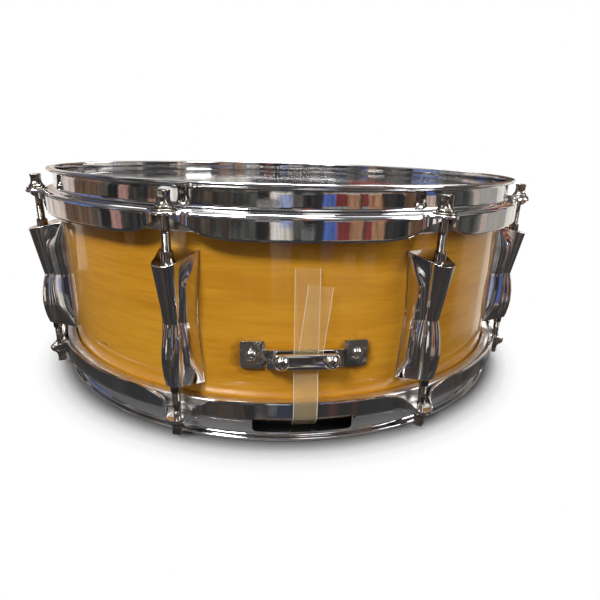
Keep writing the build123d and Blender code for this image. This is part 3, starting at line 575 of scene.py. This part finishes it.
def make_heads():
    for top, label in ((True, "batter"), (False, "snare")):
        verts, faces = lathe(from_end(HEAD, top), 256)
        build(label + "_head_fine", verts, faces, label + "_film", "drum", [label + "_head"], sharp=50)
        verts, faces = lathe(from_end(FLESH_HOOP, top), 256)
        flesh_hoop = label + "_flesh_hoop"
        build(flesh_hoop + "_fine", verts, faces, "flesh_aluminium", "drum", [flesh_hoop], sharp=50)


# ---- lugs ----------------------------------------------------------------------------------
LUG_LOW, LUG_HIGH = 33.0, 111.3
WAIST_LOW, WAIST_HIGH = 73.1, 73.8
# the casing's ends lean in towards its nose: rise a millimetre outward
LOW_LEAN, HIGH_LEAN = 0.2110, 0.2431


def lug_half(level):
    """Half outline (offset, radius) from the shell to the nose at a level given at the shell."""
    # the nose is shorter than the foot, so the same outline meets it at another height
    nose_z = 37.6 + (level - LUG_LOW) * 0.8736
    wide = np.interp(level, [33, 36, 50, 73, 90, 104, 111.3], [11.8, 11.8, 10.9, 9.4, 10.2, 11.3, 11.8])
    nose = np.interp(nose_z, [37.6, 41, 46, 52, 60, 67, 72.6, 73.2, 85, 97, 106],
                     [194.6, 195.6, 196.5, 196.9, 196.3, 194.9, 193.2, 193.2, 195.3, 197.3, 198.8])
    round_r = np.interp(nose_z, [37.6, 43, 50, 57, 65, 72.6, 73.2, 85, 97, 106],
                        [4.9, 5.3, 5.8, 5.8, 5.2, 4.3, 4.3, 5.2, 6.1, 6.9])
    # foot, crease between the side wall and the flank, and the flank's meeting with the nose
    side = np.array([round_r, nose - round_r])
    edge = np.array([wide - 0.3, SHELL + 1.3])
    crease = np.array([np.interp(level, [33, 46, 60, 73, 90, 104], [8.3, 8.8, 8.2, 7.4, 8.4, 9.3]),
                       np.interp(level, [33, 46, 60, 73, 90], [186.4, 187.4, 187.6, 186.9, 187.6])])
    corner = np.array([side[0] + 0.45, min(crease[1] + 0.9, side[1] - 0.7)])
    # towards both ends of the casing the crease fades into the foot's edge
    t = max(0.0, (level - 97) / 14.3, (46.5 - level) / 13.5)
    crease = crease * (1 - t) + edge * t
    corner = corner * (1 - t) + (crease + side) * t / 2
    pts = [np.array([wide, SHELL]), np.array([wide, SHELL + 0.9]), edge]
    for q in np.linspace(0, 1, 5)[1:]:
        pts.append(edge + (crease - edge) * q + np.array([1.2 * q * (1 - q) * (1 - t), 0.0]))
    for q in np.linspace(0, 1, 6)[1:]:
        pts.append((1 - q) ** 2 * crease + 2 * q * (1 - q) * corner + q * q * side)
    front, tip = np.array([0.62 * round_r, nose - 0.15 * round_r]), np.array([0.0, nose])
    swell = np.array([round_r, nose - 0.60 * round_r])
    flat = np.array([0.30 * round_r, nose - 0.02 * round_r])
    for q in np.linspace(0, 1, 7)[1:]:
        pts.append((1 - q) ** 2 * side + 2 * q * (1 - q) * swell + q * q * front)
    for q in np.linspace(0, 1, 5)[1:]:
        pts.append((1 - q) ** 2 * front + 2 * q * (1 - q) * flat + q * q * tip)
    return pts


def lug_net(bearing):
    """A casing as a net of outlines, from its lower to its upper end."""
    a = math.radians(bearing)
    radial, tangent = np.array([math.sin(a), -math.cos(a)]), np.array([math.cos(a), math.sin(a)])
    stretches = ((LUG_LOW, 46.5, 7), (46.5, WAIST_LOW, 10), (WAIST_HIGH, 97, 9), (97, LUG_HIGH, 8))
    levels = sorted({level for stretch in stretches for level in np.linspace(*stretch)})
    rows = []
    for level in levels:
        half = lug_half(level)
        outline = half + [np.array([-p[0], p[1]]) for p in reversed(half[:-1])]
        back = [np.array([u, SHELL]) for u in np.linspace(-outline[0][0], outline[0][0], 7)[1:-1]]
        row = []
        for u, r in outline + back:
            # the foot follows the shell's curve
            on_shell = math.sqrt((SHELL + 0.06) ** 2 - u * u)
            if r <= SHELL + 0.3:
                r = on_shell
            elif r < SHELL + 3:
                r = r - SHELL + on_shell
            low = LUG_LOW + (r - SHELL) * LOW_LEAN
            high = LUG_HIGH - (r - SHELL) * HIGH_LEAN
            z = low + (level - LUG_LOW) / (LUG_HIGH - LUG_LOW) * (high - low)
            xy = radial * r + tangent * u
            row.append((xy[0], xy[1], z))
        rows.append(row)
    return grid(np.array(rows), close_u=False, cap=True)


def make_lugs():
    verts, faces = joined([lug_net(bearing) for bearing in BEARINGS])
    build("lug_casings", verts, faces, "lug_chrome", "drum", [f"lug_{i}" for i in range(1, 9)], bevel=0.22)


# ---- swivel nuts, washers, rods ------------------------------------------------------------
NUT_UP = [(2.6, 104.0), (3.5, 104.0), (3.5, 108.5), (3.42, 111.6), (3.3, 112.3), (3.0, 112.6), (2.6, 112.6)]
NUT_LOW = [(2.6, 40.0), (3.0, 40.0), (3.0, 34.5), (2.95, 32.0), (2.85, 31.3), (2.6, 31.02), (2.56, 31.02)]
WASHER = [(2.4, 13.45), (2.65, 13.2), (6.0, 13.2), (6.4, 13.3), (6.6, 13.6), (6.6, 14.05), (6.4, 14.32),
          (6.0, 14.4), (2.65, 14.4), (2.4, 14.2)]
# key head, flared collar and plain shank: (level above the washer, half width, squareness)
ROD_RINGS = [(9.0, 2.1, 4.0), (8.93, 2.62, 6.0), (8.6, 2.93, 8.0), (7.9, 2.93, 8.5), (7.2, 2.80, 8.5),
             (6.0, 2.72, 8.0), (4.9, 2.76, 7.0), (4.0, 2.92, 5.0), (3.2, 3.25, 3.2), (2.5, 3.70, 2.4),
             (1.9, 4.20, 2.1), (1.5, 4.55, 2.0), (1.28, 4.85, 2.0), (1.05, 5.05, 2.0), (0.75, 5.1, 2.0),
             (0.3, 5.1, 2.0), (0.08, 5.0, 2.0), (0.0, 4.8, 2.0), (-0.02, 2.3, 2.0), (-3.0, 2.28, 2.0),
             (-8.0, 2.28, 2.0), (-10.9, 2.28, 2.0), (-11.3, 2.22, 2.0)]
THREAD_START, THREAD_END, ROD_END = -11.5, -24.6, -39.7
THREAD_ROOT, THREAD_DEPTH = 2.16, 0.33
ROD_SEAT = 13.18


def at_rods(profile, segments):
    """A turned profile at every rod."""
    return [lathe(profile, segments, outward(bearing, ROD_CIRCLE, 0)[:2]) for bearing in BEARINGS]


def make_nuts_and_washers():
    verts, faces = joined(at_rods(NUT_UP, 40) + at_rods(NUT_LOW, 40))
    build("swivel_nuts_fine", verts, faces, "rod_chrome", "drum", ["swivel_nuts"], sharp=35)
    for top, label in ((True, "batter"), (False, "snare")):
        verts, faces = joined(at_rods(from_end(WASHER, top), 48))
        washers = label + "_rod_washers"
        build(washers + "_fine", verts, faces, "rod_chrome", "drum", [washers], sharp=45)


def rod_net(bearing, top, turn):
    """Key head, flared collar, plain shank and cut thread as one net of rings."""
    count = 40
    phi = np.linspace(0, 2 * math.pi, count, endpoint=False)
    c, s = np.abs(np.cos(phi)), np.abs(np.sin(phi))
    rows = [(level, half / (c ** power + s ** power) ** (1 / power)) for level, half, power in ROD_RINGS]
    for level in np.arange(THREAD_START, THREAD_END, -0.13):
        phase = (level / THREAD_PITCH + phi / (2 * math.pi)) % 1.0
        grow = min(1.0, (THREAD_START - level) / 1.2)
        rows.append((level, THREAD_ROOT + THREAD_DEPTH * grow * (1 - np.abs(2 * phase - 1))))
    # what the nut hides is plain
    rows += [(THREAD_END - 0.2, np.full(count, 2.3)), (ROD_END + 0.7, np.full(count, 2.3)),
             (ROD_END, np.full(count, 1.8))]
    cx, cy, _ = outward(bearing, ROD_CIRCLE, 0)
    points = np.zeros((len(rows), count, 3))
    seat = HEIGHT - ROD_SEAT if top else ROD_SEAT
    for i, (level, radius) in enumerate(rows):
        points[i, :, 0] = cx + radius * np.cos(phi + turn)
        points[i, :, 1] = cy + radius * np.sin(phi + turn)
        points[i, :, 2] = seat + (level if top else -level)
    return grid(points, close_u=False, cap=True)


def make_rods():
    for i, bearing in enumerate(BEARINGS, start=1):
        for top, label in ((True, "batter"), (False, "snare")):
            turn = math.radians(bearing + rng.uniform(-38, 38))
            name = f"{label}_rod_{i}"
            verts, faces = rod_net(bearing, top, turn)
            build(name + "_fine", verts, faces, "rod_chrome", name, [name], sharp=50)


# ---- straps --------------------------------------------------------------------------------
def ribbon(path, width, thick, side, cup=0.0):
    """A band with bevelled edges: side is the direction of its width, cup how far its middle stands out."""
    path, side = np.array(path, float), np.array(side, float)
    side = side / np.linalg.norm(side)
    ahead = np.gradient(path, axis=0)
    ahead /= np.linalg.norm(ahead, axis=1)[:, None]
    face = np.cross(ahead, side)
    inner = width - 0.6
    rows = []
    for p, n in zip(path, face):
        flat = [(p + side * inner * u / 2 + n * (thick / 2 + cup * (1 - u * u)), thick)
                for u in np.linspace(-1, 1, 7)]
        left, right = ((p + side * u * width / 2 + n * thick * 0.2, thick * 0.4) for u in (-1, 1))
        top = [left, *flat, right]
        rows.append([q for q, _ in top] + [q - n * deep for q, deep in reversed(top)])
    return grid(np.array(rows), close_u=False, cap=True)


def radial_path(bearing, points):
    return [outward(bearing, r, z) for r, z in points]


# (radius, height) where a strap bends down over the lower hoop's skirt and into its gate
OVER_HOOP = [(187.8, 28.8), (187.65, 17.5), (180.0, 10.45)]
BENDS = [3.0, 3.0, 3.2]
SIDEWAYS = (1, 0, 0)


def make_butt_strap():
    """Two layers over the hoop, whose free ends stand up above the clamp, one upright and one leaning."""
    run = rounded([(183.55, 59.0), (183.55, 47.5)] + OVER_HOOP, BENDS)
    second = [(r - 0.42, z + 0.05) for r, z in run[:-1]]
    upright = [(183.3 - 4.6 * t + 0.35 * math.sin(3.1 * t), 58.0 + 46.3 * t) for t in np.linspace(0, 1, 16)]
    lean = math.radians(7.0)
    up = np.array([math.sin(lean), 0.0, math.cos(lean)])
    wide = np.array([math.cos(lean), 0.0, -math.sin(lean)])
    start = np.array(outward(BUTT, 183.75, 58.5)) + wide * 2.6
    leaning = [start + up * 37.0 * t + np.array([0.0, 3.4 * t - 0.5 * math.sin(3.0 * t), 0.0])
               for t in np.linspace(0, 1, 14)]
    verts, faces = joined([ribbon(radial_path(BUTT, run), STRAP_WIDTH, 0.4, SIDEWAYS),
                           ribbon(radial_path(BUTT, second), STRAP_WIDTH - 0.2, 0.36, SIDEWAYS),
                           ribbon(radial_path(BUTT, upright), STRAP_WIDTH, 0.4, SIDEWAYS, cup=0.12),
                           ribbon(leaning, STRAP_WIDTH, 0.4, wide, cup=-0.10)])
    build("butt_strap_fine", verts, faces, "strap_plastic", "drum", ["butt_strap"], sharp=50)


def make_strainer_strap():
    """Over the lower hoop on the strainer's side; its lower end stays in the gate."""
    run = rounded([(195.5, 57.0), (195.5, 45.0)] + OVER_HOOP, BENDS)
    verts, faces = ribbon(radial_path(STRAINER, run), STRAP_WIDTH, 0.7, SIDEWAYS)
    strap = build("strainer_strap_fine", verts, faces, "strap_plastic", None, ["strainer_strap"], sharp=50)
    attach(strap, "drum")
    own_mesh(strap)


def make_tail_straps():
    """From the gates to the snare wires' end plates, under the lower head."""
    tail = rounded([(179.4, 10.15), (177.2, 8.95), (173.0, 8.3), (159.2, 8.3)], [1.0, 1.0])
    dense = [tail[0]]
    for a, b in zip(tail, tail[1:]):
        steps = max(1, int(np.linalg.norm(b - a) / 1.5))
        dense += [a + (b - a) * k / steps for k in range(1, steps + 1)]
    for bearing, label, replaced in ((BUTT, "butt", ["snare_tail_straps"]), (STRAINER, "strainer", [])):
        verts, faces = ribbon(radial_path(bearing, dense), STRAP_WIDTH, 0.7, SIDEWAYS)
        build(label + "_tail_strap", verts, faces, "strap_plastic", "snare_unit", replaced, sharp=50)


# ---- snare wires ---------------------------------------------------------------------------
def wire_net(x):
    """One coiled wire as rings that are wide and narrow by turns."""
    ys = np.linspace(-158, 158, 396)
    phi = np.linspace(0, 2 * math.pi, 8, endpoint=False)
    points = np.zeros((len(ys), len(phi), 3))
    for i, y in enumerate(ys):
        r = 0.98 if i % 2 else 0.74
        points[i, :, 0] = x + r * np.cos(phi)
        points[i, :, 1] = y
        points[i, :, 2] = 8.6 + r * np.sin(phi)
    return grid(points, close_u=False, cap=True)


def make_wires():
    middle = (WIRE_COUNT - 1) / 2
    verts, faces = joined([wire_net((i - middle) * WIRE_SPACING) for i in range(WIRE_COUNT)])
    build("snare_wires_fine", verts, faces, "snare_steel", "snare_unit", ["snare_wires"])


# ---- small castings, plates and screws -----------------------------------------------------
# the width in millimetres of each one's softened edges
SMALL_PARTS = {"butt_clamp_bar": 0.7, "butt_clamp_screws": 0.35, "butt_mounting_screws": 0.3,
               "vent_grommet": 0.3, "strainer_housing": 0.8, "slide_carriage": 0.5, "throw_lever": 0.5,
               "tension_knob": 0.2, "tension_screw": 0.3, "strap_clamp_block": 0.5,
               "strap_clamp_bar": 0.5, "strap_clamp_screws": 0.2, "lever_pin": 0.3,
               "snare_end_plates": 0.2, "lug_screws": 0.2, "lug_screw_washers": 0.2,
               "butt_mounting_nuts": 0.3, "strainer_mounting_screws": 0.3}


def make_butt_bracket():
    bracket = refine("butt_bracket", 0, 0.05)
    # its bent legs are as low as the bridge
    cut(bracket, [((-23.9, -190.0, low), (23.9, -176.0, low + 4.0), 0.5) for low in (44.0, 59.0)])
    soften(bracket, 0.3)


def make_small_parts():
    for node, width in SMALL_PARTS.items():
        refine(node, width)


# ---- floor, light and camera ---------------------------------------------------------------
FLOOR_RINGS = (120.0, 190.0, 240.0)
FLOOR_SIDES = 96


def make_floor():
    """Pale disc with painted shade: dark under the hoop, and a painted contact shadow that fades out before
    its edge.
    """
    angles = np.linspace(0, 2 * math.pi, FLOOR_SIDES, endpoint=False)
    verts = [(r * math.cos(a) * MM, r * math.sin(a) * MM, -0.0002) for r in FLOOR_RINGS for a in angles]
    centre = len(verts)
    verts.append((0.0, 0.0, -0.0002))
    faces = [(centre, k, (k + 1) % FLOOR_SIDES) for k in range(FLOOR_SIDES)]
    for inner in (0, FLOOR_SIDES):
        outer = inner + FLOOR_SIDES
        faces += [(inner + k, outer + k, outer + (k + 1) % FLOOR_SIDES, inner + (k + 1) % FLOOR_SIDES)
                  for k in range(FLOOR_SIDES)]
    mesh = bpy.data.meshes.new("floor")
    mesh.from_pydata(verts, [], faces)
    obj = bpy.data.objects.new("floor", mesh)
    bpy.context.scene.collection.objects.link(obj)
    m = Material("pale floor")
    # distance from the middle in quarters of a metre
    far = m.math("MULTIPLY", m.length(m.coords), 4.0)
    # alpha: opaque up to the drum's edge, then fading, so the dark colour round the drum shows as a painted
    # contact shadow
    fade = m.grey(far, (0.735, 1.0), (0.752, 0.80), (0.775, 0.42), (0.805, 0.13), (0.840, 0.0))
    # painted shade: dark under the hoop, so the gates look black, and dark outside it for the painted
    # contact shadow
    shade = m.grey(far, (0.560, 1.0), (0.660, 0.05), (0.715, 0.05), (0.730, 0.16))
    pale = m.mix(m.noise(30.0), (0.90, 0.90, 0.90), (0.94, 0.94, 0.935))
    m.set(Base_Color=m.mix(1.0, pale, shade, "MULTIPLY"), Roughness=0.6, Alpha=fade)
    mesh.materials.append(m.material)


def white_noise(m, dimensions, **inputs):
    return m.add("ShaderNodeTexWhiteNoise", inputs, noise_dimensions=dimensions).outputs["Value"]


def make_world():
    """White to the camera; the chrome and lacquer mirror a made-up room instead."""
    world = bpy.data.worlds.new("studio")
    bpy.context.scene.world = world
    world.use_nodes = True
    m = Nodes(world.node_tree, "Generated")
    parts = m.split(m.coords)
    turn, height = m.math("ARCTAN2", parts["X"], parts["Y"]), parts["Z"]
    # goods standing round the room: upright blocks of many tones, dark on the whole
    wide = white_noise(m, "1D", W=m.math("FLOOR", m.math("MULTIPLY", turn, 2.7)))
    thin = m.math("FLOOR", m.math("ADD", m.math("MULTIPLY", turn, 10.0), m.math("MULTIPLY", wide, 5.0)))
    thin = white_noise(m, "1D", W=m.math("ADD", thin, 31.7))
    column = m.mix(m.math("GREATER_THAN", wide, 0.42), wide, thin)
    row = m.math("FLOOR", m.math("ADD", m.math("MULTIPLY", height, 4.6), m.math("MULTIPLY", column, 3.0)))
    cell = m.add("ShaderNodeCombineXYZ", {"X": m.math("MULTIPLY", column, 91.0), "Y": row}).outputs[0]
    pick = white_noise(m, "2D", Vector=cell)
    tone = m.ramp(pick, (0.00, (0.016, 0.016, 0.018)), (0.22, (0.055, 0.052, 0.048)),
                  (0.34, (0.17, 0.095, 0.055)), (0.46, (0.13, 0.128, 0.12)),
                  (0.56, (0.024, 0.025, 0.028)), (0.66, (0.34, 0.335, 0.32)),
                  (0.74, (0.38, 0.19, 0.10)), (0.80, (1.10, 1.08, 1.04)),
                  (0.85, (0.09, 0.15, 0.42)), (0.90, (0.075, 0.073, 0.07)),
                  (0.95, (0.38, 0.045, 0.035)), (0.98, (0.60, 0.58, 0.50)))
    streaks = m.add("ShaderNodeCombineXYZ", {"X": m.math("MULTIPLY", turn, 3.4),
                                             "Y": m.math("MULTIPLY", height, 3.0)}).outputs[0]
    shade = m.noise(1.0, 5.0, 0.65, m.scaled(14.0, 1.6, 1.0, streaks))
    tone = m.mix(1.0, tone, m.grey(shade, (0.28, 0.25), (0.50, 0.95), (0.72, 1.9)), "MULTIPLY")
    # ceiling with rows of lamps
    rows = m.grey(m.math("SINE", m.math("MULTIPLY", turn, 5.0)), (0.55, 0.0), (0.72, 1.0))
    lamps = m.math("MULTIPLY", rows, m.grey(height, (0.62, 0.0), (0.68, 1.0)))
    ceiling = m.mix(lamps, (0.20, 0.20, 0.20), (2.2, 2.2, 2.15))
    tone = m.mix(m.grey(height, (0.38, 0.0), (0.52, 1.0)), tone, ceiling)
    # dark ground that mirrors a little of the goods
    ground = m.mix(m.noise(3.0, 3.0, 0.5, m.coords), (0.018, 0.019, 0.021), (0.062, 0.061, 0.059))
    ground = m.mix(0.10, ground, tone)
    tone = m.mix(m.grey(m.math("ADD", height, 1.0), (0.66, 1.0), (0.78, 0.0)), tone, ground)
    # one pale wall with a dark post, beyond the drum on the right
    across = m.grey(m.math("MULTIPLY", turn, 0.5), (0.300, 0.0), (0.305, 1.0), (0.395, 1.0), (0.400, 0.2),
                    (0.420, 0.2), (0.424, 1.0), (0.520, 0.8), (0.526, 0.4), (0.72, 0.35), (0.78, 0.0))
    upward = m.grey(m.math("ADD", height, 0.5), (0.10, 0.0), (0.16, 1.0), (0.62, 1.0), (0.66, 0.0))
    tone = m.mix(m.math("MULTIPLY", across, upward), tone, (0.92, 0.88, 0.80))
    room = m.add("ShaderNodeBackground", {"Color": tone, "Strength": 1.0})
    white = m.add("ShaderNodeBackground", {"Color": (1, 1, 1, 1), "Strength": 1.0})
    seen = m.add("ShaderNodeLightPath").outputs["Is Camera Ray"]
    choose = m.add("ShaderNodeMixShader", {0: seen, 1: room.outputs[0], 2: white.outputs[0]})
    m.add("ShaderNodeOutputWorld", {"Surface": choose.outputs[0]})


def area_light(name, where, aim, size, power, colour=(1.0, 1.0, 1.0)):
    data = bpy.data.lights.new(name, "AREA")
    data.shape, data.size, data.size_y = "RECTANGLE", size[0], size[1]
    data.energy, data.color = power, colour
    obj = bpy.data.objects.new(name, data)
    obj.location = where
    obj.rotation_euler = (Vector(aim) - Vector(where)).to_track_quat("-Z", "Y").to_euler()
    bpy.context.scene.collection.objects.link(obj)


# where the photograph was taken from, and its turn in radians
CAMERA_PLACE = (-0.0297, -0.4068, 0.1632)
CAMERA_YAW, CAMERA_PITCH, CAMERA_ROLL = -0.113, 0.322, -0.029
CAMERA_LENS = 27.06


def make_camera():
    yaw, pitch, roll = CAMERA_YAW, CAMERA_PITCH, CAMERA_ROLL
    forward = Vector((-math.sin(yaw) * math.cos(pitch), math.cos(yaw) * math.cos(pitch), -math.sin(pitch)))
    level = Vector((math.cos(yaw), math.sin(yaw), 0.0))
    down = forward.cross(level)
    right = math.cos(roll) * level + math.sin(roll) * down
    up = math.sin(roll) * level - math.cos(roll) * down
    data = bpy.data.cameras.new("camera")
    data.sensor_width, data.lens = 36.0, CAMERA_LENS
    data.clip_start, data.clip_end = 0.01, 50.0
    data.dof.use_dof = False
    obj = bpy.data.objects.new("camera", data)
    turn = Matrix((right, up, -forward)).transposed().to_4x4()
    obj.matrix_world = Matrix.Translation(CAMERA_PLACE) @ turn
    bpy.context.scene.collection.objects.link(obj)
    bpy.context.scene.camera = obj


paint_cad_nodes()
make_hoops()
make_shell()
make_heads()
make_lugs()
make_nuts_and_washers()
make_rods()
make_butt_strap()
make_strainer_strap()
make_tail_straps()
make_wires()
make_butt_bracket()
make_small_parts()
make_floor()
make_world()
area_light("key", (-0.75, -1.10, 1.30), (0.0, -0.1, 0.07), (0.45, 0.32), 22.0, (1.0, 0.985, 0.96))
area_light("fill", (1.20, -0.75, 0.75), (0.0, 0.0, 0.07), (0.5, 0.9), 8.0)
area_light("top", (0.0, 0.1, 1.5), (0.0, 0.0, 0.0), (0.7, 0.55), 22.0)
area_light("rear", (0.70, 1.25, 0.95), (0.0, 0.0, 0.07), (0.5, 0.4), 9.0)
make_camera()
bpy.context.scene.view_settings.view_transform = "Standard"
